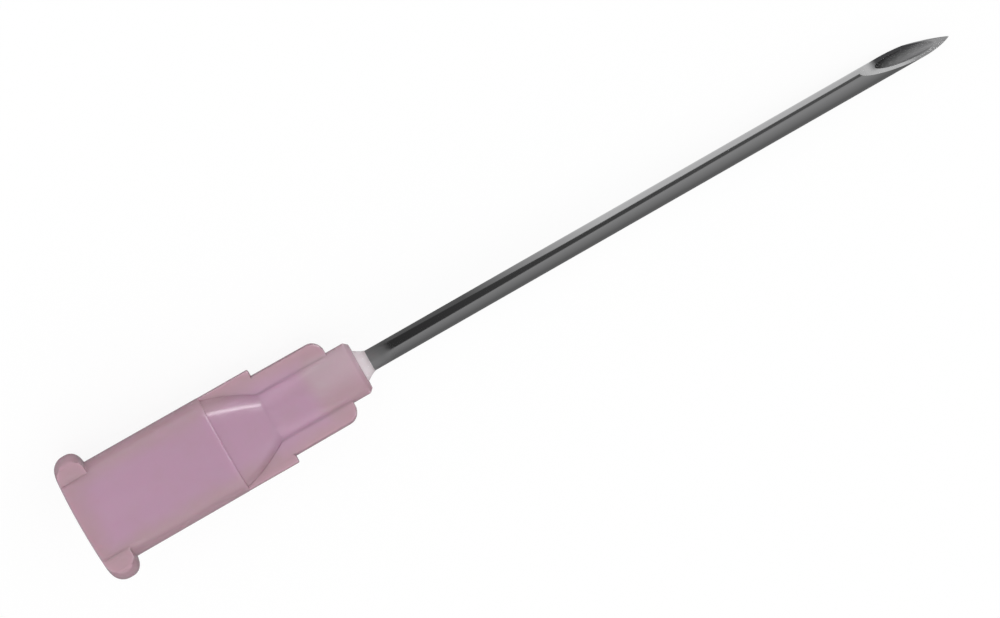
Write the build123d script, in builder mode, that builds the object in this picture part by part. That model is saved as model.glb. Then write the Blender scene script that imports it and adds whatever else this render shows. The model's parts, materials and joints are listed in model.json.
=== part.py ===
from build123d import *
from math import atan, cos, degrees, radians, sin, tan
import os

# A single-use injection needle: a moulded polypropylene hub, a ground steel tube glued into its nose,
# and the glue. Millimetres and degrees. Every size ending in _at is a distance along the needle's axis,
# from the open face of the hub towards the point.

# Steel tube, 18 gauge regular wall
tube_diameter = 1.27
tube_wall = 0.216
tube_showing = 38.1

# The point: one long grind, then two short ones turned to either side of it
bevel_length = 5.5
bevel_turn = 30.0
facet_turn = 35.0
facet_slope = 18.2

# Hub, inside, from the mouth forwards: a 6 percent conical socket, a straight relief, a funnel, a passage
# narrower than the tube, and the tube's bore
socket_mouth_diameter = 4.29
socket_taper = 0.06
socket_depth = 7.5
mouth_chamfer = 0.12
relief_length = 1.2
funnel_length = 3.3
passage_length = 0.8
passage_shoulder = 0.16
tube_seated = 5.2
tube_bore_clearance = 0.01

# Hub, outside: a barrel that covers the relief, a crowned neck, a core and a nose
barrel_diameter = 6.10
barrel_past_relief = 0.5
barrel_draft = 0.22
barrel_edge_step = 0.16
barrel_edge_round = 0.1
neck_length = 2.95
neck_crown = 0.13
neck_foot_round = 0.5
core_diameter = 3.24
nose_length = 1.35
nose_chamfer = 0.22

# Two lugs for the locking collar of a syringe, 7.83 over both
lug_width = 3.8
lug_back_round = 0.84
lug_rim_land = 0.2
lug_front_round = 0.68
lug_front_land = 0.045
lug_side_round = 0.35
lug_root_round = 0.14

# Two fins in the plane of the lugs, which key the hub in its cap
fin_thickness = 1.35
fin_step_from_neck = 0.2
fin_step_height = 0.41
fin_front_draft = 0.4
fin_corner_round = 0.75
fin_root_round = 0.25

# Glue: it fills a flared pocket around the tube and stands out of the nose as a small cone
pocket_depth = 3.0
pocket_root_gap = 0.05
pocket_mouth_gap = 0.34
bead_length = 0.62
bead_end_film = 0.02

# How far the lugs stand off level where it lies: rolled until the corner of one lug is down at the table
rest_roll = -34.0

# Inside the hub
tube_radius = tube_diameter / 2
lumen_radius = tube_radius - tube_wall
socket_radius = socket_mouth_diameter / 2
relief_radius = socket_radius - socket_depth * socket_taper / 2
relief_end_at = socket_depth + relief_length
funnel_end_at = relief_end_at + funnel_length
tube_back_at = funnel_end_at + passage_length
passage_radius = tube_radius - passage_shoulder
tube_bore_radius = tube_radius + tube_bore_clearance
hub_length = tube_back_at + tube_seated
pocket_at = hub_length - pocket_depth
pocket_root_radius = tube_bore_radius + pocket_root_gap
pocket_mouth_radius = tube_bore_radius + pocket_mouth_gap
bead_end_radius = tube_radius + bead_end_film

# Outside the hub
barrel_radius = barrel_diameter / 2
lug_thickness = lug_back_round + lug_rim_land + lug_front_round
lug_radius = barrel_radius + lug_front_round + lug_front_land + lug_root_round
collar_end_at = lug_thickness + 2 * lug_root_round
barrel_length = relief_end_at + barrel_past_relief
barrel_end_radius = barrel_radius - (barrel_length - collar_end_at) * tan(radians(barrel_draft))
neck_radius = barrel_end_radius - barrel_edge_step
neck_end_at = barrel_length + neck_length
core_radius = core_diameter / 2
fin_step_at = neck_end_at + fin_step_from_neck
fin_end_at = hub_length - nose_length
fin_back_radius = barrel_radius - (fin_step_at - collar_end_at) * tan(radians(barrel_draft))
fin_front_radius = fin_back_radius - fin_step_height
fin_end_radius = fin_front_radius - (fin_end_at - fin_step_at) * tan(radians(fin_front_draft))

# The tube's point
tip_at = hub_length + tube_showing
bevel_slope = degrees(atan(tube_diameter / bevel_length))

# How it lies on a table: on the front rim of the barrel and on the underside of the point.
# One facet cuts the tube's lowest line off this far behind the point.
facet_from_up = facet_turn + abs(bevel_turn - rest_roll)
facet_reach = tube_radius * (cos(radians(facet_turn)) - cos(radians(facet_from_up)))
underside_end_at = tip_at - facet_reach / tan(radians(facet_slope))
dip = atan((barrel_end_radius - tube_radius) / (underside_end_at - barrel_length))
mouth_height = barrel_length * sin(dip) + barrel_end_radius * cos(dip)
mouth_back = tip_at * cos(dip) / 2

# The hub's own directions: along the axis, square to the lugs' plane, and across both lugs
table_up = Vector(sin(dip), 0, cos(dip))
table_side = Vector(0, 1, 0)
forward = Vector(cos(dip), 0, -sin(dip))
upward = table_up * cos(radians(rest_roll)) - table_side * sin(radians(rest_roll))
sideways = table_side * cos(radians(rest_roll)) + table_up * sin(radians(rest_roll))
mouth = Vector(-mouth_back, 0, mouth_height)

# The lug plane holds the axis and both lugs; section planes stand square to the axis.
lug_plane = Plane(origin=mouth, x_dir=forward, z_dir=upward)
section_plane = Plane(origin=mouth, x_dir=sideways, z_dir=forward)
needle_axis = Axis(mouth, forward)

# Lugs: a collar with a rounded rim and foot, kept only where the section has its two lugs
with BuildPart() as lugs:
    with BuildSketch(lug_plane) as lug_profile:
        with BuildLine():
            Polyline(
                (0, 0),
                (0, lug_radius),
                (lug_thickness, lug_radius),
                (lug_thickness, barrel_radius),
                (collar_end_at, barrel_radius),
                (collar_end_at, 0),
                (0, 0),
            )
        make_face()
        fillet(lug_profile.vertices().sort_by_distance((0, lug_radius))[0], radius=lug_back_round)
        fillet(lug_profile.vertices().sort_by_distance((lug_thickness, lug_radius))[0], radius=lug_front_round)
        fillet(lug_profile.vertices().sort_by_distance((lug_thickness, barrel_radius))[0], radius=lug_root_round)
    revolve(axis=needle_axis)
    with BuildSketch(section_plane) as lug_section:
        Circle(lug_radius)
        Rectangle(2 * lug_radius, lug_width, mode=Mode.INTERSECT)
        fillet(lug_section.vertices(), radius=lug_side_round)
        rim_corners = lug_section.vertices()
        Circle(barrel_radius)
        fillet(lug_section.vertices() - rim_corners, radius=lug_root_round)
    extrude(amount=collar_end_at, mode=Mode.INTERSECT)

# Fins: a stepped collar with its front corner rounded, kept only where the section has its two fins
with BuildPart() as fins:
    with BuildSketch(lug_plane) as fin_profile:
        with BuildLine():
            Polyline(
                (collar_end_at, 0),
                (collar_end_at, core_radius),
                (barrel_length, barrel_end_radius),
                (fin_step_at, fin_back_radius),
                (fin_step_at, fin_front_radius),
                (fin_end_at, fin_end_radius),
                (fin_end_at, 0),
                (collar_end_at, 0),
            )
        make_face()
        fillet(fin_profile.vertices().sort_by_distance((fin_end_at, fin_end_radius))[0], radius=fin_corner_round)
    revolve(axis=needle_axis)
    with BuildSketch(section_plane) as fin_section:
        Circle(core_radius)
        Rectangle(barrel_diameter, fin_thickness)
        fin_corners = fin_section.vertices().group_by(SortBy.DISTANCE)[0]
        fillet(fin_corners, radius=fin_root_round)
    extrude(amount=hub_length, mode=Mode.INTERSECT)

# Hub: barrel, crowned neck and core turned as one profile, with lugs and fins, and hollowed from both ends
neck_middle_at = barrel_length + neck_length / 2
neck_middle_radius = (neck_radius + core_radius) / 2 + neck_crown
with BuildPart() as hub:
    with BuildSketch(lug_plane) as hub_profile:
        with BuildLine():
            Polyline(
                (0, 0),
                (0, barrel_radius),
                (collar_end_at, barrel_radius),
                (barrel_length, barrel_end_radius),
                (barrel_length, neck_radius),
            )
            ThreePointArc(
                (barrel_length, neck_radius),
                (neck_middle_at, neck_middle_radius),
                (neck_end_at, core_radius),
            )
            Polyline(
                (neck_end_at, core_radius),
                (hub_length - nose_chamfer, core_radius),
                (hub_length, core_radius - nose_chamfer),
                (hub_length, 0),
                (0, 0),
            )
        make_face()
        rim = hub_profile.vertices().sort_by_distance((barrel_length, barrel_end_radius))[0]
        fillet(rim, radius=barrel_edge_round)
        foot = hub_profile.vertices().sort_by_distance((neck_end_at, core_radius))[0]
        fillet(foot, radius=neck_foot_round)
    revolve(axis=needle_axis)
    add(lugs.part)
    add(fins.part)
    with BuildSketch(lug_plane):
        with BuildLine():
            Polyline(
                (0, 0),
                (0, socket_radius + mouth_chamfer),
                (mouth_chamfer, socket_radius - mouth_chamfer * socket_taper / 2),
                (socket_depth, relief_radius),
                (relief_end_at, relief_radius),
                (funnel_end_at, passage_radius),
                (tube_back_at, passage_radius),
                (tube_back_at, tube_bore_radius),
                (pocket_at, tube_bore_radius),
                (pocket_at, pocket_root_radius),
                (hub_length, pocket_mouth_radius),
                (hub_length, 0),
                (0, 0),
            )
        make_face()
    revolve(axis=needle_axis, mode=Mode.SUBTRACT)

# Cannula: a drawn tube, ground to a lancet point
tip_up = upward * cos(radians(bevel_turn)) + sideways * sin(radians(bevel_turn))
tip_side = sideways * cos(radians(bevel_turn)) - upward * sin(radians(bevel_turn))
tip_point = mouth + forward * tip_at - tip_up * tube_radius
bevel_normal = tip_up * cos(radians(bevel_slope)) + forward * sin(radians(bevel_slope))
with BuildPart() as cannula:
    with BuildSketch(section_plane.offset(tube_back_at)):
        Circle(tube_radius)
        Circle(lumen_radius, mode=Mode.SUBTRACT)
    extrude(amount=tip_at - tube_back_at)
    split(bisect_by=Plane(origin=tip_point, z_dir=bevel_normal), keep=Keep.BOTTOM)
    for turn in (facet_turn, -facet_turn):
        facet_up = tip_up * cos(radians(turn)) + tip_side * sin(radians(turn))
        facet_normal = facet_up * cos(radians(facet_slope)) + forward * sin(radians(facet_slope))
        split(bisect_by=Plane(origin=tip_point, z_dir=facet_normal), keep=Keep.BOTTOM)

# Adhesive bead: fills the pocket and tapers off on the tube
with BuildPart() as adhesive_bead:
    with BuildSketch(lug_plane):
        with BuildLine():
            Polyline(
                (pocket_at, tube_radius),
                (pocket_at, pocket_root_radius),
                (hub_length, pocket_mouth_radius),
                (hub_length + bead_length, bead_end_radius),
                (hub_length + bead_length, tube_radius),
                (pocket_at, tube_radius),
            )
        make_face()
    revolve(axis=needle_axis)

hub.part.label = "hub"
cannula.part.label = "cannula"
adhesive_bead.part.label = "adhesive_bead"

os.makedirs("parts", exist_ok=True)
export_step(hub.part, "parts/hub.step")
export_step(cannula.part, "parts/cannula.step")
export_step(adhesive_bead.part, "parts/adhesive_bead.step")
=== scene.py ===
import json
import math

import bmesh
import bpy
from bpy.props import FloatProperty, FloatVectorProperty, IntProperty, PointerProperty
from mathutils import Matrix, Vector


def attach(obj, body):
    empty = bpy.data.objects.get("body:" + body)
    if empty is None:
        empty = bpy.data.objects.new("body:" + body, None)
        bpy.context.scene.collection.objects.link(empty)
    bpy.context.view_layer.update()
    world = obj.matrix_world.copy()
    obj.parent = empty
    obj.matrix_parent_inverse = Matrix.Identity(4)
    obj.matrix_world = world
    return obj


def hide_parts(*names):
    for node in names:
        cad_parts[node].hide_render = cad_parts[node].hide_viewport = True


bl_info = {
    "name": "Injection needle",
    "version": (1, 0, 0),
    "blender": (4, 5, 0),
    "location": "View3D > Sidebar > Needle",
    "description": "A moulded needle hub, its ground steel tube and the glue between them, on a white table",
    "category": "Object",
}

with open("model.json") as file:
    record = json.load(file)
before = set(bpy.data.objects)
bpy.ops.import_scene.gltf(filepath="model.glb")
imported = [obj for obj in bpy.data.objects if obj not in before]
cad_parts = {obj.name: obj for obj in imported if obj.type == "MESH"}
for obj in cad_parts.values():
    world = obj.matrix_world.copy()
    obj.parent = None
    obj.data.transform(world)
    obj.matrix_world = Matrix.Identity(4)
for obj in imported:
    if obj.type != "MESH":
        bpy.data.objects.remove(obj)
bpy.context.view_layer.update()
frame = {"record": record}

# The needle's own directions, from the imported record's mounts: along the axis towards the point, towards
# the lug that is the upper one in the picture, and square to the plane of both lugs. Upper and lower mean
# the picture's everywhere below. All shapes are built in these directions, then moved to the row's frame.
mounts = {mount["name"]: mount for mount in frame["record"]["mounts"]}
mouth = Vector(mounts["luer_taper"]["pos_m"])
forward = -Vector(mounts["luer_taper"]["axis"]).normalized()
sideways = (Vector(mounts["hub_face"]["pos_m"]) - mouth).normalized()
upward = forward.cross(sideways)
hub_to_row = Matrix.Translation(mouth) @ Matrix((forward, sideways, upward)).transposed().to_4x4()

touching = 1e-7  # metres, points nearer than this count as one
round_step = 5e-5  # metres of radius to each face of a rounding
noise_low, noise_high = 0.2, 0.8  # Blender's noise mostly stays between these
white = (1.0, 1.0, 1.0, 1.0)


def from_mount(mount, name):
    """One size of a mount, in millimetres."""
    return mounts[mount]["dims"][name]


def length(millimetres, description):
    """A length property, given in millimetres and kept in metres."""
    metres = millimetres / 1000
    return FloatProperty(description=description, default=metres, min=0, precision=6, unit="LENGTH")


def turn(degrees, description):
    """An angle property, given in degrees and kept in radians."""
    return FloatProperty(description=description, default=math.radians(degrees), unit="ROTATION")


def share(value, description, most=1.0):
    """A plain number between nothing and the most."""
    return FloatProperty(description=description, default=value, min=0, max=most)


def colour(value, description):
    """A linear colour."""
    return FloatVectorProperty(description=description, subtype="COLOR", default=value, min=0, max=1)


def face_count(number, description):
    """A number of faces."""
    return IntProperty(description=description, default=number, min=24, max=256)


class HubSizes(bpy.types.PropertyGroup):
    socket_radius: length(from_mount("luer_taper", "r_mm"), "Conical socket at its mouth")
    socket_depth: length(from_mount("luer_taper", "length_mm"), "Length of the conical socket")
    mouth_chamfer: length(0.12, "Chamfer at the socket's mouth")
    relief_radius: length(from_mount("luer_socket", "r_mm"), "Straight wall behind the cone")
    relief_length: length(from_mount("luer_socket", "length_mm"), "Length of that wall")
    passage_radius: length(0.475, "Narrow passage behind the tube")
    passage_length: length(0.8, "Length of that passage")
    inner_round: length(0.3, "Rounding at both ends of the funnel")
    barrel_radius: length(3.05, "Barrel at the lugs")
    barrel_end_radius: length(3.0224, "Barrel at its front rim")
    barrel_length: length(9.2, "Open face to the barrel's front rim")
    barrel_draft: turn(0.22, "Taper of the barrel and of the fins behind their step")
    barrel_edge_step: length(0.16, "Step from the barrel down to the neck")
    barrel_edge_round: length(0.15, "Rounding of the barrel's front rim")
    mouth_edge_round: length(0.08, "Rounding of the open face's outer edge")
    neck_length: length(2.95, "Barrel to core")
    neck_crown: length(0.13, "How far the neck bulges out of a plain cone")
    neck_foot_round: length(0.4, "Hollow between neck and core")
    core_radius: length(1.62, "Core and nose")
    length: length(18.0, "Open face to the front of the nose")
    nose_chamfer: length(0.22, "Chamfer round the nose")
    nose_back_round: length(0.15, "Rounding behind that chamfer")
    nose_front_round: length(0.06, "Rounding before that chamfer")
    lug_radius: length(from_mount("luer_lugs", "r_mm"), "Half the span over both lugs")
    lug_thickness: length(from_mount("luer_lugs", "length_mm"), "Lug, along the needle")
    lug_width: length(3.8, "Lug, along the rim")
    lug_back_round: length(0.84, "Rounding of the lug's back edge")
    lug_front_round: length(0.68, "Rounding of the lug's front edge")
    lug_side_round: length(0.35, "Rounding of the lug's corners")
    lug_root_round: length(0.14, "Hollow between lug and barrel")
    fin_thickness: length(1.35, "Both fins")
    fin_step_from_neck: length(0.2, "End of the neck to the fins' step")
    fin_step_height: length(0.41, "Height of that step")
    fin_front_draft: turn(0.4, "Taper of the fins before their step")
    fin_corner_round: length(0.75, "Rounding of the fins' front corner")
    fin_root_round: length(0.25, "Hollow between fin and core")
    nose_length: length(1.35, "End of the fins to the front of the nose")
    lug_root_spread: turn(8.02, "Turn round the barrel that the lug's foot takes up")
    fin_root_spread: turn(12.605, "Turn round the core that the fin's foot takes up")
    fin_rooted: length(0.64, "How far the fins reach back into the barrel")
    edge_round: length(0.07, "Rounding of the lugs' and fins' other edges")
    soften_over: turn(55, "Edges of lugs and fins that turn more than this are rounded")
    smooth_under: turn(35, "Edges that turn less than this are shaded as smooth")
    overlap: length(0.01, "How deep joined forms reach into one another")
    clear: length(0.22, "How far cutting forms reach past what they cut")
    join_slack: length(0.002, "Corners nearer than this are merged once all forms are joined")
    faces: face_count(120, "Faces round each turned form")


class TubeSizes(bpy.types.PropertyGroup):
    radius: length(from_mount("cannula_shaft", "r_mm"), "Outside of the tube")
    wall: length(0.216, "Wall of the tube")
    back_at: length(12.8, "Open face of the hub to the tube's back end")
    showing: length(38.1, "Nose to the point")
    bevel_length: length(5.5, "Length of the long grind")
    bevel_turn: turn(30, "Turn of the bevel against the lugs")
    facet_turn: turn(35, "Turn of each front facet")
    facet_slope: turn(18.2, "Slope of each front facet")
    smooth_under: turn(8, "Edges that turn less than this are shaded as smooth")
    faces: face_count(128, "Faces round the tube")


class GlueSizes(bpy.types.PropertyGroup):
    bead_length: length(0.62, "How far the glue stands out of the nose")
    bead_end_film: length(0.02, "Thickness where the glue ends on the tube")
    bead_hollow: share(1.35, "How hollow the bead's slope is, 1 for a plain cone", 3)
    pocket_depth: length(3.0, "How deep it fills the nose")
    root_gap: length(0.05, "Thickness at the pocket's root")
    mouth_gap: length(0.34, "Thickness at the front of the nose")
    bore_clearance: length(0.01, "Between the tube and its bore")
    smooth_under: turn(40, "Edges that turn less than this are shaded as smooth")
    faces: face_count(96, "Faces round the glue")


class PlasticLook(bpy.types.PropertyGroup):
    wall_colour: colour((0.61, 0.385, 0.52), "Where the wall is thin over the socket")
    thick_colour: colour((0.558, 0.369, 0.423), "Lugs, fins and edges, where it is solid")
    # The nose colour is partly the glue showing through and partly a painted highlight: the next two lengths
    # keep it to the upper side, where the light falls.
    nose_colour: colour((0.625, 0.465, 0.525), "Over the glue in the nose, on the upper side")
    nose_from: length(1.3, "Distance below the axis where that colour starts")
    nose_to: length(0.4, "Distance above the axis where it is full")
    # Painted shade: a darker line on the rounded edge of the open face, and how far it reaches
    mouth_colour: colour((0.42, 0.33, 0.37), "Thin line round the edge of the open face")
    mouth_line: length(0.16, "How far from the open face that line reaches")
    collar_reach: length(1.9, "How far from the open face the solid colour of the lugs spreads")
    thick_from: length(1.3, "Distance from the middle plane where the solid colour starts")
    thick_to: length(2.6, "Distance where it is full")
    roughness_low: share(0.16, "Glossiest places of the moulding")
    roughness_high: share(0.25, "Dullest places")
    blend_width: length(0.6, "Half the length over which two colours meet")
    cloud_size: length(1.6, "Size of the faint clouds in the plastic")
    cloud_depth: share(0.25, "How far the clouds shift the colour")
    grain_size: length(0.22, "Size of the mould's fine texture")
    grain_depth: length(0.002, "Depth of that texture")
    grain_strength: share(0.6, "Strength of that texture")
    refraction: share(1.49, "Refractive index of polypropylene", 2)
    scatter: share(0.8, "Share of the light that scatters inside")
    scatter_colour: colour((1.0, 0.65, 0.85), "How far each colour scatters")
    scatter_depth: length(0.8, "How deep the light scatters")
    clearness: share(0.35, "Share of the light that goes through")


class SteelLook(bpy.types.PropertyGroup):
    drawn_colour: colour((0.46, 0.46, 0.465), "Drawn outside of the tube")
    stub_colour: colour((0.44, 0.44, 0.445), "Matte length just in front of the glue")
    stub_end: length(1.85, "Nose to where the matte length ends")
    stub_blend: length(0.5, "Half the length over which it turns bright")
    ground_colour: colour((0.56, 0.56, 0.565), "Ground faces of the point")
    # Painted light: the lower facet's paler colour stands for the brighter reflection it catches
    facet_colour: colour((0.68, 0.68, 0.685), "Short ground face on the lower lug's side")
    # Painted shade on the long ground face: near black beside the opening, on the upper side
    shaded_colour: colour((0.06, 0.06, 0.063), "Long ground face beside the opening")
    # Painted shade: the upper facet's dark colour
    shaded_facet_colour: colour((0.2, 0.2, 0.205), "Short ground face on the upper side")
    # Painted shade on the long ground face: grey towards the point
    front_colour: colour((0.33, 0.33, 0.333), "Long ground face before the opening")
    burnt_colour: colour((0.02, 0.02, 0.02), "Grinding lines in the ground faces")
    burnt_share: share(0.12, "How much of that colour they take")
    # The next six lengths place the long ground face's painted shades
    shade_middle: length(0.1, "Edge of the shaded colour, above the axis")
    shade_blend: length(0.15, "Half the width of that edge")
    shade_start: length(0.5, "Heel of the bevel to where the shaded colour starts")
    shade_full: length(1.2, "Heel to where it is full")
    front_start: length(2.2, "Heel to where the front colour starts")
    front_full: length(3.6, "Heel to where it is full")
    inside_colour: colour((0.42, 0.42, 0.425), "Inside of the tube")
    inside_dark_colour: colour((0.252, 0.252, 0.255), "Darkest lines in it")
    drawn_roughness: share(0.15, "Drawn outside")
    stub_roughness: share(0.7, "Matte length")
    ground_roughness: share(0.28, "Ground faces")
    inside_roughness: share(0.56, "Inside of the tube")
    roughness_spread: share(0.06, "How much the lines vary each roughness")
    line_spacing: length(0.07, "Spacing of the drawing and grinding lines")
    line_depth: length(0.0012, "Depth of those lines")
    drawn_relief: share(0.3, "Strength of the drawing lines")
    ground_relief: share(0.15, "Strength of the grinding lines")


class GlueLook(bpy.types.PropertyGroup):
    clear_colour: colour((1.0, 0.8, 0.86), "Cured glue, faintly pink from the hub behind it")
    milky_colour: colour((1.0, 0.84, 0.903), "Its milkier places")
    roughness_low: share(0.15, "Glossiest places of the glue")
    roughness_high: share(0.3, "Dullest places")
    cloud_size: length(0.35, "Size of the faint clouds in the glue")
    refraction: share(1.5, "Refractive index of the glue", 2)
    scatter: share(0.6, "Share of the light that scatters inside")
    scatter_colour: colour((1.0, 0.9, 0.95), "How far each colour scatters")
    scatter_depth: length(0.6, "How deep the light scatters")
    clearness: share(0.15, "Share of the light that goes through")


class StageLook(bpy.types.PropertyGroup):
    floor_colour: colour((0.95, 0.95, 0.95), "Table")
    floor_size: length(3000, "Width of the table")
    floor_roughness: share(0.7, "Surface of the table")
    backdrop: share(0.9, "How much of the table is plain white to the camera")
    sky: share(0.98, "Strength of the white surroundings as a light", 2)
    photo_width: length(56.4, "What the picture is wide, at the needle")
    photo_turn: turn(29.77, "Turn of the needle in the picture")
    photo_along: length(26.44, "Middle of the picture, along the needle from its mouth")
    photo_below: length(1.116, "Middle of the picture, below the needle")
    lens: FloatProperty(description="Focal length in millimetres", default=250.0)
    lamp_size: length(500, "Width of the soft lamp")
    lamp_distance: length(700, "From the needle to the lamp")
    lamp_power: FloatProperty(description="Power in watts", default=0.45)
    lamp_towards: FloatVectorProperty(
        description="Direction from the needle to the lamp", subtype="DIRECTION", default=(-0.2, 0.45, 0.87),
    )
    reflector_radius: length(3.3, "Radius of the sheet round the tube that its gloss shows")
    reflector_start: length(18.3, "Mouth to one end of the sheet")
    reflector_end: length(64, "Mouth to its other end")
    reflector_turn: turn(178, "How far the sheet goes round to either side")
    grey_turn: turn(90, "Where the lower side's grey is darkest")
    grey_low: share(0.21, "Brightness there")
    grey_high: share(0.44, "Brightness next to the dark band")
    pale_start: length(25, "Mouth to where the light band starts to brighten")
    pale_end: length(34, "Mouth to where it is brightest")
    pale_low: share(0.17, "Its brightness next to the hub")
    pale_high: share(0.9, "Its full brightness")
    dark_low: share(0.045, "Brightness of the dark band next to the hub")
    dark_high: share(0.16, "Brightness of the dark band at the point")
    band_hub_end: length(18, "Mouth to where the dark band's change of width starts")
    band_tip_end: length(55, "Mouth to where it ends")
    band_lower_hub: turn(-11, "Dark band's lower edge, next to the hub")
    band_lower_tip: turn(32, "Dark band's lower edge, at the point")
    band_upper_hub: turn(82, "Dark band's upper edge, next to the hub")
    band_narrow_at: length(31, "Mouth to where the dark band has narrowed")
    band_upper_middle: turn(48, "Dark band's upper edge, where it is narrow")
    band_upper_tip: turn(60, "Dark band's upper edge, at the point")
    band_end_at: length(52, "Mouth to where the dark band stops")
    band_end_softness: length(0.4, "Softness of that end")
    band_softness: turn(3, "Softness of the band's edges")
    hub_shade: share(0.22, "Brightness of what the hub's gloss shows below its sides")
    shade_turn: turn(96, "Turn from the camera's side where that starts")
    shade_radius: length(8, "Radius of the sheet that it shows")
    strip_distance: length(900, "From the needle to the strips")
    strip_low: turn(2, "Height of the strips' lower edge over the lug plane")
    arc_brightness: share(13, "Strip that lights the neck", 50)
    arc_from: turn(30, "Bearing of one end, from straight ahead towards the upper lug")
    arc_to: turn(70, "Bearing of the other end")
    arc_high: turn(9, "Height of its upper edge")
    rim_brightness: share(9, "Strip that lights the rim", 50)
    rim_from: turn(-20, "Bearing of one end")
    rim_to: turn(38, "Bearing of the other end")
    rim_high: turn(17, "Height of its upper edge")


def faces_round(radius):
    """How many faces round off a corner of a given radius, from two to eight."""
    return min(8, max(2, round(radius / round_step)))


def flat_shape(points, rounds, plane):
    """A bmesh with one flat face through the points, whose numbered corners are rounded to a radius."""
    bm = bmesh.new()
    verts = [bm.verts.new(plane(a, b)) for a, b in points]
    bm.faces.new(verts)
    places = [vert.co.copy() for vert in verts]
    for number, radius in rounds.items():
        corner, before, after = places[number], places[number - 1], places[(number + 1) % len(places)]
        opening = (before - corner).angle(after - corner)
        bmesh.ops.bevel(
            bm, geom=[verts[number]], offset=radius / math.tan(opening / 2), offset_type="OFFSET",
            segments=faces_round(radius), profile=0.5, affect="VERTICES", clamp_overlap=False, material=-1,
        )
    return bm


def spin(bm, geom, steps):
    """Turns an outline once round the needle's axis."""
    bmesh.ops.spin(bm, geom=geom, cent=(0, 0, 0), axis=(1, 0, 0), angle=math.tau, steps=steps, use_merge=True)


def turned(points, rounds, steps):
    """A closed body turned about the needle's axis from an outline (distance, radius) that ends on it."""
    bm = flat_shape(points, rounds, lambda along, out: (along, out, 0))
    face = bm.faces[:]
    skin = [edge for edge in bm.edges if any(vert.co.y > touching for vert in edge.verts)]
    verts = list({vert for edge in skin for vert in edge.verts})
    spin(bm, verts + skin, steps)
    bmesh.ops.delete(bm, geom=face, context="FACES_ONLY")
    bmesh.ops.delete(bm, geom=[edge for edge in bm.edges if edge.is_wire], context="EDGES")
    bmesh.ops.remove_doubles(bm, verts=bm.verts, dist=touching)
    bmesh.ops.recalc_face_normals(bm, faces=bm.faces)
    return bm


def turned_ring(points, steps):
    """A closed ring turned about the needle's axis from an outline (distance, radius) clear of the axis."""
    bm = bmesh.new()
    ring = [bm.verts.new((along, out, 0)) for along, out in points]
    loop = [bm.edges.new((ring[number - 1], ring[number])) for number in range(len(ring))]
    spin(bm, ring + loop, steps)
    bmesh.ops.recalc_face_normals(bm, faces=bm.faces)
    return bm


def section_prism(points, rounds, start, end):
    """A closed prism along the needle's axis from a section (sideways, upward)."""
    bm = flat_shape(points, rounds, lambda side, up: (start, side, up))
    grown = bmesh.ops.extrude_face_region(bm, geom=bm.faces[:])
    top = [item for item in grown["geom"] if isinstance(item, bmesh.types.BMVert)]
    bmesh.ops.translate(bm, verts=top, vec=(end - start, 0, 0))
    bmesh.ops.recalc_face_normals(bm, faces=bm.faces)
    return bm


def on_circle(radius, angle):
    """A point of a circle about the middle of a section."""
    return radius * Vector((math.cos(angle), math.sin(angle)))


def two_ears(root_radius, half_width, rim_radius, root_spread, root_round, corner_round, start, end):
    """A prism with an ear to either side, hollow roots on a round body and a rim that is part of a circle."""
    root = math.asin(half_width / root_radius)
    rim = math.asin(half_width / rim_radius)
    cuts = 8
    free_share = 0.8  # of the rim between its corners, which leaves room for their rounds
    corner = [
        on_circle(root_radius, root + root_spread), on_circle(root_radius, root), on_circle(rim_radius, rim),
    ]
    arc = [on_circle(rim_radius, free_share * rim * (1 - 2 * number / cuts)) for number in range(cuts + 1)]
    ear = [*corner, *arc, *[Vector((point.x, -point.y)) for point in reversed(corner)]]
    section = [tuple(point) for point in ear] + [tuple(-point) for point in ear]
    rounds = {}
    for first in (0, len(ear)):
        for number in (first + 1, first + len(ear) - 2):
            rounds[number] = root_round
        if corner_round:
            for number in (first + 2, first + len(ear) - 3):
                rounds[number] = corner_round
    return section_prism(section, rounds, start, end)


def object_from(bm, name):
    """An object of the scene that holds the bmesh, which is freed."""
    mesh = bpy.data.meshes.new(name)
    bm.to_mesh(mesh)
    bm.free()
    made = bpy.data.objects.new(name, mesh)
    bpy.context.scene.collection.objects.link(made)
    return made


def combine(first, second, how):
    """The union, difference or intersection of two closed bmeshes, as a new bmesh."""
    kept, tool = object_from(first, "spare"), object_from(second, "spare")
    modifier = kept.modifiers.new("combine", "BOOLEAN")
    modifier.operation = how
    modifier.solver = "EXACT"
    modifier.object = tool
    bpy.context.view_layer.update()
    made = bpy.data.meshes.new_from_object(kept.evaluated_get(bpy.context.evaluated_depsgraph_get()))
    bm = bmesh.new()
    bm.from_mesh(made)
    for mesh in (made, kept.data, tool.data):
        bpy.data.meshes.remove(mesh)
    return bm


def from_axis(point):
    """A point's distance from the needle's axis."""
    return math.hypot(point.y, point.z)


def soften_edges(bm, width, turn_over, chosen):
    """Rounds the outside edges that turn over an angle and whose ends are chosen by a test of their place."""
    sharp = [
        edge for edge in bm.edges
        if edge.is_manifold and edge.is_convex and edge.calc_face_angle(0) > turn_over
        and all(chosen(vert.co) for vert in edge.verts)
    ]
    bmesh.ops.bevel(
        bm, geom=sharp, offset=width, offset_type="OFFSET", segments=3, profile=0.5, affect="EDGES",
        clamp_overlap=False, loop_slide=True, material=-1,
    )


def finished_piece(name, bm, node, materials, smooth_under):
    """Moves a bmesh to the row's frame and makes it a piece that stands for a CAD node."""
    if not bm.faces or not all(edge.is_manifold for edge in bm.edges):
        raise RuntimeError(f"{name} is not a closed mesh")
    bmesh.ops.transform(bm, matrix=hub_to_row, verts=bm.verts)
    bmesh.ops.recalc_face_normals(bm, faces=bm.faces)
    piece = object_from(bm, name)
    piece.data.shade_smooth()
    piece.data.set_sharp_from_angle(angle=smooth_under)
    for material in materials:
        piece.data.materials.append(material)
    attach(piece, "root")
    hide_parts(node)
    return piece


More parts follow.
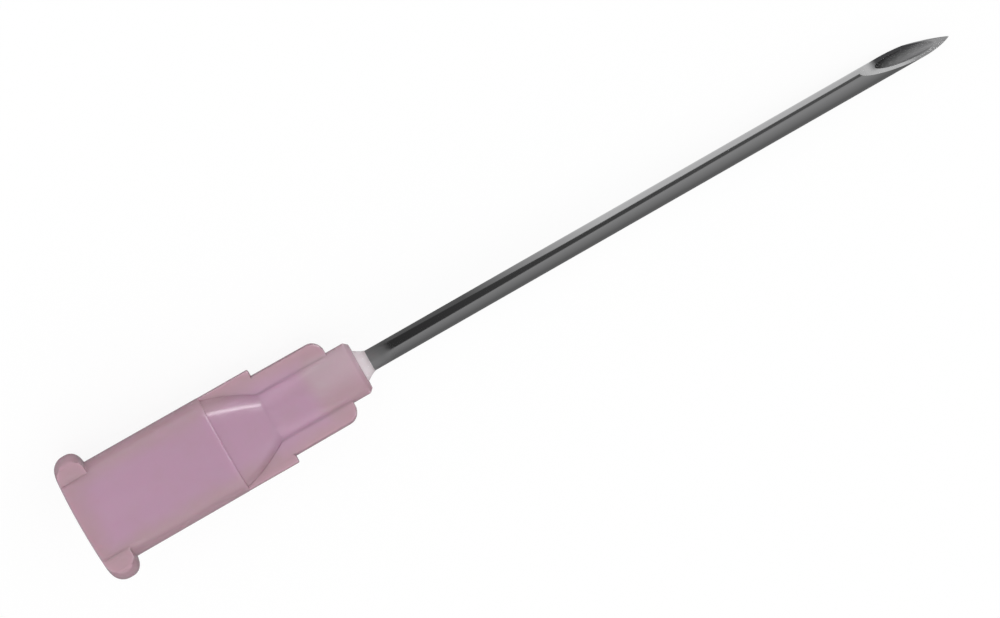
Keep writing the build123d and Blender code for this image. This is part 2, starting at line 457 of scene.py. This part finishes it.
def add_node(tree, kind, inputs=(), **settings):
    """A node with its settings, and its inputs either set to a value or joined to another node's output."""
    node = tree.nodes.new(kind)
    for name, value in settings.items():
        setattr(node, name, value)
    for name, value in dict(inputs).items():
        if isinstance(value, bpy.types.NodeSocket):
            tree.links.new(value, node.inputs[name])
        else:
            node.inputs[name].default_value = value
    return node


def new_material(name):
    """A material with a Principled shader, which it returns with its node tree."""
    material = bpy.data.materials.new(name)
    material.use_nodes = True
    return material, material.node_tree, material.node_tree.nodes["Principled BSDF"]


def new_group(name, settings, output):
    """An empty node group that takes a place and some numbers and gives one number, and its two end nodes."""
    group = bpy.data.node_groups.new(name, "ShaderNodeTree")
    group.interface.new_socket(name="Place", in_out="INPUT", socket_type="NodeSocketVector")
    for setting in settings:
        group.interface.new_socket(name=setting, in_out="INPUT", socket_type="NodeSocketFloat")
    group.interface.new_socket(name=output, in_out="OUTPUT", socket_type="NodeSocketFloat")
    return group, group.nodes.new("NodeGroupInput"), group.nodes.new("NodeGroupOutput")


def cloud_group():
    """Soft clouds of a given size, between a low and a high value."""
    group, start, end = new_group("soft_clouds", ("Size", "Low", "High"), "Mask")
    noise = add_node(
        group, "ShaderNodeTexNoise",
        {"Vector": start.outputs["Place"], "Scale": reckon(group, "DIVIDE", 1.0, start.outputs["Size"]),
         "Detail": 3.0, "Roughness": 0.55},
    )
    spread = add_node(
        group, "ShaderNodeMapRange",
        {"Value": noise.outputs["Fac"], "From Min": noise_low, "From Max": noise_high,
         "To Min": start.outputs["Low"], "To Max": start.outputs["High"]},
        interpolation_type="SMOOTHSTEP",
    )
    group.links.new(spread.outputs["Result"], end.inputs["Mask"])
    return group


def line_group():
    """Fine lines with a given spacing: along the needle where Along is small, across it where Across is."""
    group, start, end = new_group("fine_lines", ("Spacing", "Along", "Across"), "Lines")
    stretch = add_node(
        group, "ShaderNodeCombineXYZ",
        {"X": start.outputs["Along"], "Y": start.outputs["Across"], "Z": start.outputs["Across"]},
    )
    place = add_node(
        group, "ShaderNodeVectorMath", {0: start.outputs["Place"], 1: stretch.outputs[0]},
        operation="MULTIPLY",
    )
    noise = add_node(
        group, "ShaderNodeTexNoise",
        {"Vector": place.outputs[0], "Scale": reckon(group, "DIVIDE", 1.0, start.outputs["Spacing"]),
         "Detail": 2.0, "Roughness": 0.5},
    )
    group.links.new(noise.outputs["Fac"], end.inputs["Lines"])
    return group


def needle_place(tree):
    """A point's place in the needle's own directions, measured from the hub's mouth."""
    coordinates = add_node(tree, "ShaderNodeTexCoord")
    place, turned_by, _ = hub_to_row.inverted().decompose()
    mapping = add_node(
        tree, "ShaderNodeMapping",
        {"Vector": coordinates.outputs["Object"], "Location": place, "Rotation": turned_by.to_euler("XYZ")},
    )
    return mapping.outputs["Vector"]


def place_group(tree, name, make, place, settings):
    """Puts a node group in a material, made at its first use, and gives what it puts out."""
    group = bpy.data.node_groups.get(name) or make()
    return add_node(tree, "ShaderNodeGroup", {"Place": place, **settings}, node_tree=group).outputs[0]


def apart(tree, place):
    """The three parts of a place: along the needle, towards the upper lug, and square to both."""
    return add_node(tree, "ShaderNodeSeparateXYZ", {0: place}).outputs


def clouds(tree, place, size, low, high):
    """Soft clouds of a size, between a low and a high value."""
    return place_group(tree, "soft_clouds", cloud_group, place, {"Size": size, "Low": low, "High": high})


def lines(tree, place, spacing, along, across):
    """Fine lines with a spacing. They run along the needle or across it, whichever number is smaller."""
    return place_group(
        tree, "fine_lines", line_group, place, {"Spacing": spacing, "Along": along, "Across": across},
    )


def ramp(tree, value, start, end):
    """A smooth rise from 0 to 1 as a value goes from start to end."""
    node = add_node(
        tree, "ShaderNodeMapRange", {"Value": value, "From Min": start, "From Max": end},
        interpolation_type="SMOOTHSTEP",
    )
    return node.outputs["Result"]


def slide(tree, value, start, end, low, high):
    """A value that goes straight from low to high while another goes from start to end."""
    node = add_node(
        tree, "ShaderNodeMapRange",
        {"Value": value, "From Min": start, "From Max": end, "To Min": low, "To Max": high},
    )
    return node.outputs["Result"]


def reckon(tree, operation, first, second):
    """A sum, difference, product or the like of two values."""
    return add_node(tree, "ShaderNodeMath", {0: first, 1: second}, operation=operation).outputs[0]


def above(tree, value, edge, softness):
    """A factor that rises from 0 to 1 around an edge, which may be another node's output."""
    return ramp(tree, reckon(tree, "SUBTRACT", value, edge), -softness, softness)


def blend(tree, factor, first, second):
    """A mix of two plain values."""
    node = add_node(tree, "ShaderNodeMix", {0: factor, 2: first, 3: second}, data_type="FLOAT")
    return node.outputs[0]


def blend_colours(tree, factor, first, second):
    """A mix of two colours."""
    node = add_node(tree, "ShaderNodeMix", {0: factor, 6: first, 7: second}, data_type="RGBA")
    return node.outputs[2]


def solid(value):
    """A colour with full alpha."""
    return (*value, 1.0)


def cover(tree, shader, colour, roughness):
    """Joins a colour and a roughness to a shader."""
    tree.links.new(colour, shader.inputs["Base Color"])
    tree.links.new(roughness, shader.inputs["Roughness"])


def give_relief(tree, shader, height, depth, strength):
    """Makes a height show on a shader's surface."""
    bump = add_node(tree, "ShaderNodeBump", {"Height": height, "Distance": depth, "Strength": strength})
    tree.links.new(bump.outputs["Normal"], shader.inputs["Normal"])


def let_light_in(shader, look):
    """Makes a shader translucent, as its look says."""
    shader.inputs["IOR"].default_value = look.refraction
    shader.inputs["Subsurface Weight"].default_value = look.scatter
    shader.inputs["Subsurface Radius"].default_value = look.scatter_colour
    shader.inputs["Subsurface Scale"].default_value = look.scatter_depth
    shader.inputs["Transmission Weight"].default_value = look.clearness


def moulded_pink(look, hub, glue):
    """Translucent pink plastic: mauve over the socket, pinker where it is solid, paler over the glue on the
    upper side, partly the glue showing through and partly a painted highlight.
    """
    material, tree, shader = new_material("moulded_pink")
    place = needle_place(tree)
    along, across, _ = apart(tree, place)
    beside = add_node(tree, "ShaderNodeMath", {0: across}, operation="ABSOLUTE").outputs[0]

    at_side = ramp(tree, beside, look.thick_from, look.thick_to)
    at_collar = ramp(tree, along, look.collar_reach, 0.0)
    pocket = hub.length - glue.pocket_depth
    over_glue = ramp(tree, along, pocket - look.blend_width, pocket + look.blend_width)
    thick = reckon(tree, "MAXIMUM", at_side, reckon(tree, "MAXIMUM", over_glue, at_collar))
    cloudy = add_node(
        tree, "ShaderNodeMath",
        {0: thick, 1: clouds(tree, place, look.cloud_size, -look.cloud_depth, look.cloud_depth)},
        operation="ADD", use_clamp=True,
    )
    body = blend_colours(tree, cloudy.outputs[0], solid(look.wall_colour), solid(look.thick_colour))

    edge = look.blend_width / 2
    on_core = ramp(tree, beside, hub.core_radius + edge, hub.core_radius - edge)
    # Painted highlight: the paler colour over the glue fades out towards the lower side
    painted_highlight_side = ramp(tree, across, -look.nose_from, look.nose_to)
    nose = reckon(tree, "MULTIPLY", reckon(tree, "MULTIPLY", over_glue, on_core), painted_highlight_side)
    body = blend_colours(tree, nose, body, solid(look.nose_colour))

    # Painted shade along the rounded edge of the open face
    near_mouth = ramp(tree, along, look.mouth_line, 0.0)
    off_face = ramp(tree, along, 0.0, look.mouth_line / 8)
    line = reckon(tree, "MULTIPLY", near_mouth, off_face)
    body = blend_colours(tree, line, body, solid(look.mouth_colour))

    rough = clouds(tree, place, look.cloud_size / 3, look.roughness_low, look.roughness_high)
    cover(tree, shader, body, rough)
    grain = clouds(tree, place, look.grain_size, 0.0, 1.0)
    give_relief(tree, shader, grain, look.grain_depth, look.grain_strength)
    let_light_in(shader, look)
    return material


def new_steel(name, look, along, across):
    """A metal with its node tree and shader, the needle's place in it and its fine lines."""
    material, tree, shader = new_material(name)
    shader.inputs["Metallic"].default_value = 1.0
    place = needle_place(tree)
    return material, tree, shader, place, lines(tree, place, look.line_spacing, along, across)


def streaked(tree, look, fine, roughness):
    """A roughness that fine lines vary."""
    return slide(tree, fine, 0, 1, roughness - look.roughness_spread, roughness + look.roughness_spread)


def drawn_steel(look, hub):
    """Bright drawn stainless steel with lines along the tube, matte just in front of the glue."""
    material, tree, shader, place, fine = new_steel("drawn_steel", look, along=0.015, across=1.0)
    along, _, _ = apart(tree, place)
    stub_end = hub.length + look.stub_end
    bright = ramp(tree, along, stub_end - look.stub_blend, stub_end + look.stub_blend)
    steel = blend_colours(tree, bright, solid(look.stub_colour), solid(look.drawn_colour))
    rough = slide(tree, bright, 0, 1, look.stub_roughness, look.drawn_roughness)
    cover(tree, shader, steel, reckon(tree, "ADD", rough, streaked(tree, look, fine, 0)))
    pitted = clouds(tree, place, look.line_spacing * 2, 0.0, 1.0)
    give_relief(tree, shader, blend(tree, bright, pitted, fine), look.line_depth, look.drawn_relief)
    return material


def bevel_colour_and_painted_shade(tree, place, look, heel):
    """The long ground face: its own colour at its heel, a painted shade that greys it towards the point, and
    a darker painted shade beside the opening on the upper side.
    """
    along, across, _ = apart(tree, place)
    beside = ramp(tree, across, look.shade_middle - look.shade_blend, look.shade_middle + look.shade_blend)
    at_opening = ramp(tree, along, heel + look.shade_start, heel + look.shade_full)
    at_front = ramp(tree, along, heel + look.front_start, heel + look.front_full)
    # Painted shade that greys the face towards the point
    ground = blend_colours(tree, at_front, solid(look.ground_colour), solid(look.front_colour))
    # Painted shade beside the opening, on the upper side
    shaded = reckon(tree, "MULTIPLY", beside, at_opening)
    return blend_colours(tree, shaded, ground, solid(look.shaded_colour))


def ground_steel(name, look, shades):
    """A ground face of the point, with lines across the needle. shades gives its colour before the lines,
    painted shade and painted light included.
    """
    material, tree, shader, place, fine = new_steel(name, look, along=1.0, across=0.08)
    unburnt = slide(tree, fine, noise_low, noise_high, 1 - look.burnt_share, 1.0)
    steel = blend_colours(tree, unburnt, solid(look.burnt_colour), shades(tree, place))
    cover(tree, shader, steel, streaked(tree, look, fine, look.ground_roughness))
    give_relief(tree, shader, fine, look.line_depth, look.ground_relief)
    return material


def inside_steel(look):
    """The dull drawn inside of the tube."""
    material, tree, shader, place, fine = new_steel("inside_steel", look, along=0.03, across=1.0)
    steel = blend_colours(tree, fine, solid(look.inside_dark_colour), solid(look.inside_colour))
    cover(tree, shader, steel, streaked(tree, look, fine, look.inside_roughness))
    return material


def clear_glue(look):
    """Cured adhesive, milky where it is thick."""
    material, tree, shader = new_material("clear_glue")
    place = needle_place(tree)
    milky = clouds(tree, place, look.cloud_size, 0.0, 1.0)
    glue = blend_colours(tree, milky, solid(look.clear_colour), solid(look.milky_colour))
    rough = clouds(tree, place, look.cloud_size / 2, look.roughness_low, look.roughness_high)
    cover(tree, shader, glue, rough)
    let_light_in(shader, look)
    return material


class NEEDLE_OT_hub(bpy.types.Operator):
    """Builds the moulded hub: turned body, lugs and fins, hollowed from both ends"""
    bl_idname = "needle.hub"
    bl_label = "Build hub"

    def execute(self, context):
        scene = context.scene
        s, tube, glue = scene.needle_hub, scene.needle_tube, scene.needle_glue
        collar_end = s.lug_thickness + 2 * s.lug_root_round
        neck_end = s.barrel_length + s.neck_length
        neck_radius = s.barrel_end_radius - s.barrel_edge_step
        cuts = 9
        neck = []
        for number in range(cuts + 1):
            part = number / cuts
            neck.append((
                s.barrel_length + part * s.neck_length,
                neck_radius + part * (s.core_radius - neck_radius) + 4 * s.neck_crown * part * (1 - part),
            ))
        body = turned(
            [
                (0, 0), (0, s.barrel_radius), (collar_end, s.barrel_radius),
                (s.barrel_length, s.barrel_end_radius), *neck, (s.length - s.nose_chamfer, s.core_radius),
                (s.length, s.core_radius - s.nose_chamfer), (s.length, 0),
            ],
            {
                1: s.mouth_edge_round, 3: s.barrel_edge_round, 4 + cuts: s.neck_foot_round,
                5 + cuts: s.nose_back_round, 6 + cuts: s.nose_front_round,
            },
            s.faces,
        )

        foot = s.barrel_radius - s.overlap
        lug_collar = turned(
            [
                (0, 0), (0, s.lug_radius), (s.lug_thickness, s.lug_radius), (s.lug_thickness, foot),
                (collar_end, foot), (collar_end, 0),
            ],
            {1: s.lug_back_round, 2: s.lug_front_round, 3: s.lug_root_round},
            s.faces,
        )
        lug_section = two_ears(
            foot, s.lug_width / 2, s.lug_radius + s.overlap, s.lug_root_spread, s.lug_root_round,
            s.lug_side_round, -s.clear, collar_end + s.clear,
        )
        lugs = combine(lug_collar, lug_section, "INTERSECT")

        fin_step = neck_end + s.fin_step_from_neck
        fin_end = s.length - s.nose_length
        fin_back = s.barrel_radius - (fin_step - collar_end) * math.tan(s.barrel_draft)
        fin_front = fin_back - s.fin_step_height
        fin_start = s.barrel_length - s.fin_rooted
        fin_collar = turned(
            [
                (fin_start, 0), (fin_start, s.core_radius),
                (s.barrel_length - s.barrel_edge_step, s.barrel_end_radius - s.overlap),
                (fin_step, fin_back), (fin_step, fin_front),
                (fin_end, fin_front - (fin_end - fin_step) * math.tan(s.fin_front_draft)), (fin_end, 0),
            ],
            {5: s.fin_corner_round},
            s.faces,
        )
        fin_section = two_ears(
            s.core_radius - s.overlap, s.fin_thickness / 2, s.barrel_radius + s.clear, s.fin_root_spread,
            s.fin_root_round, 0, fin_start - s.clear, fin_end + s.clear,
        )
        fins = combine(fin_collar, fin_section, "INTERSECT")

        relief_end = s.socket_depth + s.relief_length
        funnel_end = tube.back_at - s.passage_length
        bore = tube.radius + glue.bore_clearance
        pocket = s.length - glue.pocket_depth
        flare = (glue.mouth_gap - glue.root_gap) / glue.pocket_depth
        cone = (s.socket_radius - s.relief_radius) / s.socket_depth
        cavity = turned(
            [
                (-s.clear, 0), (-s.clear, s.socket_radius + s.mouth_chamfer + s.clear),
                (s.mouth_chamfer, s.socket_radius - cone * s.mouth_chamfer),
                (s.socket_depth, s.relief_radius), (relief_end, s.relief_radius),
                (funnel_end, s.passage_radius), (tube.back_at, s.passage_radius), (tube.back_at, bore),
                (pocket, bore), (pocket, bore + glue.root_gap),
                (s.length + s.clear, bore + glue.mouth_gap + flare * s.clear), (s.length + s.clear, 0),
            ],
            {4: s.inner_round, 5: s.inner_round},
            s.faces,
        )
        # The fins go on before the lugs: the other way round, the hub came out open in some runs
        hub = combine(combine(combine(body, fins, "UNION"), lugs, "UNION"), cavity, "DIFFERENCE")
        bmesh.ops.remove_doubles(hub, verts=hub.verts, dist=s.join_slack)
        bmesh.ops.dissolve_degenerate(hub, edges=hub.edges, dist=s.join_slack / 2)

        def on_lug_or_fin(point):
            on_lug = point.x < collar_end
            root = s.barrel_radius + s.lug_root_round if on_lug else s.core_radius + s.fin_root_round
            return from_axis(point) > root + s.edge_round and not collar_end < point.x < s.barrel_length

        soften_edges(hub, s.edge_round, s.soften_over, on_lug_or_fin)
        plastic = moulded_pink(scene.needle_plastic, s, glue)
        finished_piece("hub_moulding", hub, "hub", [plastic], s.smooth_under)
        return {"FINISHED"}


class NEEDLE_OT_tube(bpy.types.Operator):
    """Builds the steel tube and grinds its point"""
    bl_idname = "needle.tube"
    bl_label = "Build tube"

    def execute(self, context):
        scene = context.scene
        s, hub = scene.needle_tube, scene.needle_hub
        tip_at = hub.length + s.showing
        lumen = s.radius - s.wall
        blank_end = tip_at + s.wall
        tube = turned_ring(
            [(s.back_at, lumen), (s.back_at, s.radius), (blank_end, s.radius), (blank_end, lumen)], s.faces,
        )

        def turned_up(angle):
            return Vector((0, math.sin(angle), math.cos(angle)))

        tip = Vector((tip_at, 0, 0)) - turned_up(s.bevel_turn) * s.radius
        bevel_slope = math.atan(2 * s.radius / s.bevel_length)
        keeper = bmesh.new()
        bmesh.ops.create_cube(keeper, size=4 * tip_at)  # far larger than the tube
        for angle, slope in ((0, bevel_slope), (s.facet_turn, s.facet_slope), (-s.facet_turn, s.facet_slope)):
            normal = turned_up(s.bevel_turn + angle) * math.cos(slope) + Vector((1, 0, 0)) * math.sin(slope)
            cut = bmesh.ops.bisect_plane(
                keeper, geom=keeper.verts[:] + keeper.edges[:] + keeper.faces[:],
                plane_co=tip, plane_no=normal, clear_outer=True,
            )
            rim = [item for item in cut["geom_cut"] if isinstance(item, bmesh.types.BMEdge)]
            bmesh.ops.contextual_create(keeper, geom=rim)
        bmesh.ops.recalc_face_normals(keeper, faces=keeper.faces)
        ground = combine(tube, keeper, "INTERSECT")
        bmesh.ops.remove_doubles(ground, verts=ground.verts, dist=touching)
        ground.normal_update()
        look = scene.needle_steel
        heel = tip_at - s.bevel_length
        steels = [
            drawn_steel(look, hub),
            ground_steel("ground_steel", look, lambda tree, place: bevel_colour_and_painted_shade(tree, place, look, heel)),
            inside_steel(look),
            # The two facets are lit and shaded copies of one ground steel: painted shade above, painted light
            # below
            ground_steel("painted_shade_upper_facet", look, lambda tree, place: solid(look.shaded_facet_colour)),
            ground_steel("painted_light_lower_facet", look, lambda tree, place: solid(look.facet_colour)),
        ]
        drawn, bevel, inside, painted_shade_upper_facet, painted_light_lower_facet = range(len(steels))
        along_grind = 0.1  # a face that leans along the needle more than this is ground, and
        off_middle = 0.3  # a ground face that leans to one side more than this is a facet
        for face in ground.faces:
            beside = face.normal.dot(turned_up(s.bevel_turn + math.radians(90)))
            if max(from_axis(vert.co) for vert in face.verts) < s.radius - s.wall / 2:
                face.material_index = inside
            elif abs(face.normal.x) < along_grind:
                face.material_index = drawn
            elif abs(beside) < off_middle:
                face.material_index = bevel
            else:
                face.material_index = painted_shade_upper_facet if beside > 0 else painted_light_lower_facet
        finished_piece("steel_tube", ground, "cannula", steels, s.smooth_under)
        return {"FINISHED"}


class NEEDLE_OT_glue(bpy.types.Operator):
    """Builds the glue that fills the nose and stands out of it as a small cone"""
    bl_idname = "needle.glue"
    bl_label = "Build glue"

    def execute(self, context):
        scene = context.scene
        s, hub, tube = scene.needle_glue, scene.needle_hub, scene.needle_tube
        inner = tube.radius - hub.overlap
        outer = tube.radius + s.bore_clearance + hub.overlap
        start = hub.length - s.pocket_depth
        end = hub.length + s.bead_length
        cuts = 8
        slope = []
        for number in range(1, cuts + 1):
            part = number / cuts
            slope.append((
                hub.length + part * s.bead_length,
                tube.radius + s.bead_end_film + s.mouth_gap * (1 - part) ** s.bead_hollow,
            ))
        bead = turned_ring(
            [
                (start, inner), (start, outer + s.root_gap), (hub.length - hub.overlap, outer + s.mouth_gap),
                *slope, (end, inner),
            ],
            s.faces,
        )
        glue = clear_glue(scene.needle_glue_look)
        finished_piece("glue_bead", bead, "adhesive_bead", [glue], s.smooth_under)
        return {"FINISHED"}


def stage_card(name, place, steps):
    """A curved card that only gloss sees, whose brightness is an input it returns. place maps two shares."""
    bm = bmesh.new()
    bmesh.ops.create_grid(bm, x_segments=steps, y_segments=steps, size=0.5)
    for vert in bm.verts:
        vert.co = hub_to_row @ Vector(place(vert.co.x + 0.5, vert.co.y + 0.5))
    card = object_from(bm, name)
    material = bpy.data.materials.new(name)
    material.use_nodes = True
    tree = material.node_tree
    tree.nodes.clear()
    glow = add_node(tree, "ShaderNodeEmission", {"Color": white})
    out = add_node(tree, "ShaderNodeOutputMaterial")
    tree.links.new(glow.outputs[0], out.inputs["Surface"])
    material.cycles.emission_sampling = "NONE"
    card.data.materials.append(material)
    for rays in ("camera", "diffuse", "transmission", "shadow"):
        setattr(card, f"visible_{rays}", False)
    return tree, glow.inputs["Strength"]


def background_rays(tree):
    """A factor of 1 for rays that should see plain white, and 0 for those that light the object."""
    path = add_node(tree, "ShaderNodeLightPath")
    mirrored = reckon(tree, "MAXIMUM", path.outputs["Is Camera Ray"], path.outputs["Is Glossy Ray"])
    return reckon(tree, "MAXIMUM", mirrored, path.outputs["Is Transmission Ray"])


def mix(first, second, part):
    """A value part of the way from the first to the second."""
    return first + (second - first) * part


class NEEDLE_OT_stage(bpy.types.Operator):
    """Builds the table, the cards, the white surroundings and the camera"""
    bl_idname = "needle.stage"
    bl_label = "Build stage"

    def execute(self, context):
        s = context.scene.needle_stage
        scene = context.scene
        scene.view_settings.view_transform = "Standard"
        bm = bmesh.new()
        bmesh.ops.create_grid(bm, x_segments=1, y_segments=1, size=s.floor_size / 2)
        floor = object_from(bm, "table")
        floor.visible_glossy = False
        material, tree, shader = new_material("table_white")
        shader.inputs["Base Color"].default_value = solid(s.floor_colour)
        shader.inputs["Roughness"].default_value = s.floor_roughness
        seen = add_node(tree, "ShaderNodeEmission", {"Color": white, "Strength": 1.0})
        plain = reckon(tree, "MULTIPLY", background_rays(tree), s.backdrop)
        mixed = add_node(tree, "ShaderNodeMixShader", {0: plain, 1: shader.outputs[0], 2: seen.outputs[0]})
        tree.links.new(mixed.outputs[0], tree.nodes["Material Output"].inputs["Surface"])
        floor.data.materials.append(material)

        world = bpy.data.worlds.new("studio")
        world.use_nodes = True
        tree = world.node_tree
        light = tree.nodes["Background"]
        light.inputs["Color"].default_value = white
        light.inputs["Strength"].default_value = s.sky
        seen = add_node(tree, "ShaderNodeBackground", {"Color": white, "Strength": 1.0})
        mixed = add_node(
            tree, "ShaderNodeMixShader", {0: background_rays(tree), 1: light.outputs[0], 2: seen.outputs[0]},
        )
        tree.links.new(mixed.outputs[0], tree.nodes["World Output"].inputs["Surface"])
        scene.world = world
        self.build_reflector(s)
        self.build_hub_shade(s)
        self.build_strips(s)
        self.build_lamp(s)

        centre = mouth + forward * s.photo_along - sideways * s.photo_below
        right = forward * math.cos(s.photo_turn) - sideways * math.sin(s.photo_turn)
        up = forward * math.sin(s.photo_turn) + sideways * math.cos(s.photo_turn)
        data = bpy.data.cameras.new("camera")
        data.lens = s.lens
        data.clip_start = 0.01
        data.clip_end = 10
        camera = bpy.data.objects.new("camera", data)
        away = s.photo_width * s.lens / data.sensor_width
        turned_to = Matrix((right, up, upward)).transposed().to_4x4()
        camera.matrix_world = Matrix.Translation(centre + upward * away) @ turned_to
        scene.collection.objects.link(camera)
        scene.camera = camera
        return {"FINISHED"}

    def build_lamp(self, s):
        """A large soft lamp above the upper lug's side, not seen in gloss."""
        data = bpy.data.lights.new("soft_lamp", "AREA")
        data.size = s.lamp_size
        data.energy = s.lamp_power
        lamp = bpy.data.objects.new("soft_lamp", data)
        bpy.context.scene.collection.objects.link(lamp)
        towards = Vector(s.lamp_towards).normalized()
        lamp.location = towards * s.lamp_distance
        lamp.rotation_euler = towards.to_track_quat("Z", "Y").to_euler()
        lamp.visible_glossy = False

    def build_reflector(self, s):
        """A sheet bent round the tube, which gives it its long bands: grey, dark, then light."""
        def place(along, around):
            angle = mix(-s.reflector_turn, s.reflector_turn, around)
            reach = mix(s.reflector_start, s.reflector_end, along)
            return reach, s.reflector_radius * math.sin(angle), s.reflector_radius * math.cos(angle)

        tree, strength = stage_card("reflector", place, steps=96)
        reach, across, up = apart(tree, needle_place(tree))
        angle = reckon(tree, "ARCTAN2", across, up)
        hub_end, tip_end = s.band_hub_end, s.band_tip_end
        grey = slide(tree, angle, -s.grey_turn, 0, s.grey_low, s.grey_high)
        pale = slide(tree, reach, s.pale_start, s.pale_end, s.pale_low, s.pale_high)
        dark = slide(tree, reach, hub_end, tip_end, s.dark_low, s.dark_high)
        lower = slide(tree, reach, hub_end, tip_end, s.band_lower_hub, s.band_lower_tip)
        narrowing = slide(tree, reach, hub_end, s.band_narrow_at, s.band_upper_hub, s.band_upper_middle)
        widening = slide(tree, reach, s.pale_end, tip_end, 0, s.band_upper_tip - s.band_upper_middle)
        upper = reckon(tree, "ADD", narrowing, widening)
        upper = blend(tree, above(tree, reach, s.band_end_at, s.band_end_softness), upper, lower)
        banded = blend(tree, above(tree, angle, lower, s.band_softness), grey, dark)
        lit = blend(tree, above(tree, angle, upper, s.band_softness), banded, pale)
        tree.links.new(lit, strength)

    def build_hub_shade(self, s):
        """A grey sheet bent round the underside of the hub, which gives its outline a thin darker line."""
        def place(along, around):
            angle = mix(s.shade_turn, math.tau - s.shade_turn, around)
            reach = mix(-2 * s.shade_radius, s.reflector_start, along)
            return reach, s.shade_radius * math.sin(angle), s.shade_radius * math.cos(angle)

        tree, strength = stage_card("hub_shade", place, steps=48)
        strength.default_value = s.hub_shade

    def build_strips(self, s):
        """Two low strips far ahead of the needle, which light the front of the neck and the barrel's rim."""
        for name, brightness, first, last, high in (
            ("arc_strip", s.arc_brightness, s.arc_from, s.arc_to, s.arc_high),
            ("rim_strip", s.rim_brightness, s.rim_from, s.rim_to, s.rim_high),
        ):
            def place(along, around):
                bearing = mix(first, last, along)
                height = mix(s.strip_low, high, around)
                flat = s.strip_distance * math.cos(height)
                return flat * math.cos(bearing), flat * math.sin(bearing), s.strip_distance * math.sin(height)

            tree, strength = stage_card(name, place, steps=12)
            strength.default_value = brightness


class NEEDLE_PT_panel(bpy.types.Panel):
    bl_label = "Injection needle"
    bl_idname = "NEEDLE_PT_panel"
    bl_space_type = "VIEW_3D"
    bl_region_type = "UI"
    bl_category = "Needle"

    def draw(self, context):
        for name in OPERATORS:
            self.layout.operator(name)


OPERATORS = ("needle.hub", "needle.tube", "needle.glue", "needle.stage")
GROUPS = {
    "needle_hub": HubSizes, "needle_tube": TubeSizes, "needle_glue": GlueSizes, "needle_plastic": PlasticLook,
    "needle_steel": SteelLook, "needle_glue_look": GlueLook, "needle_stage": StageLook,
}
CLASSES = (*GROUPS.values(), NEEDLE_OT_hub, NEEDLE_OT_tube, NEEDLE_OT_glue, NEEDLE_OT_stage, NEEDLE_PT_panel)


def register():
    for group in GROUPS.values():
        for name, setting in group.__annotations__.items():
            setting.keywords["name"] = name.replace("_", " ").capitalize()
    for cls in CLASSES:
        bpy.utils.register_class(cls)
    for name, group in GROUPS.items():
        setattr(bpy.types.Scene, name, PointerProperty(type=group))


def unregister():
    for name in GROUPS:
        delattr(bpy.types.Scene, name)
    for cls in reversed(CLASSES):
        bpy.utils.unregister_class(cls)


def main():
    register()
    for name in OPERATORS:
        group, operator = name.split(".")
        getattr(getattr(bpy.ops, group), operator)()


if __name__ == "__main__":
    main()
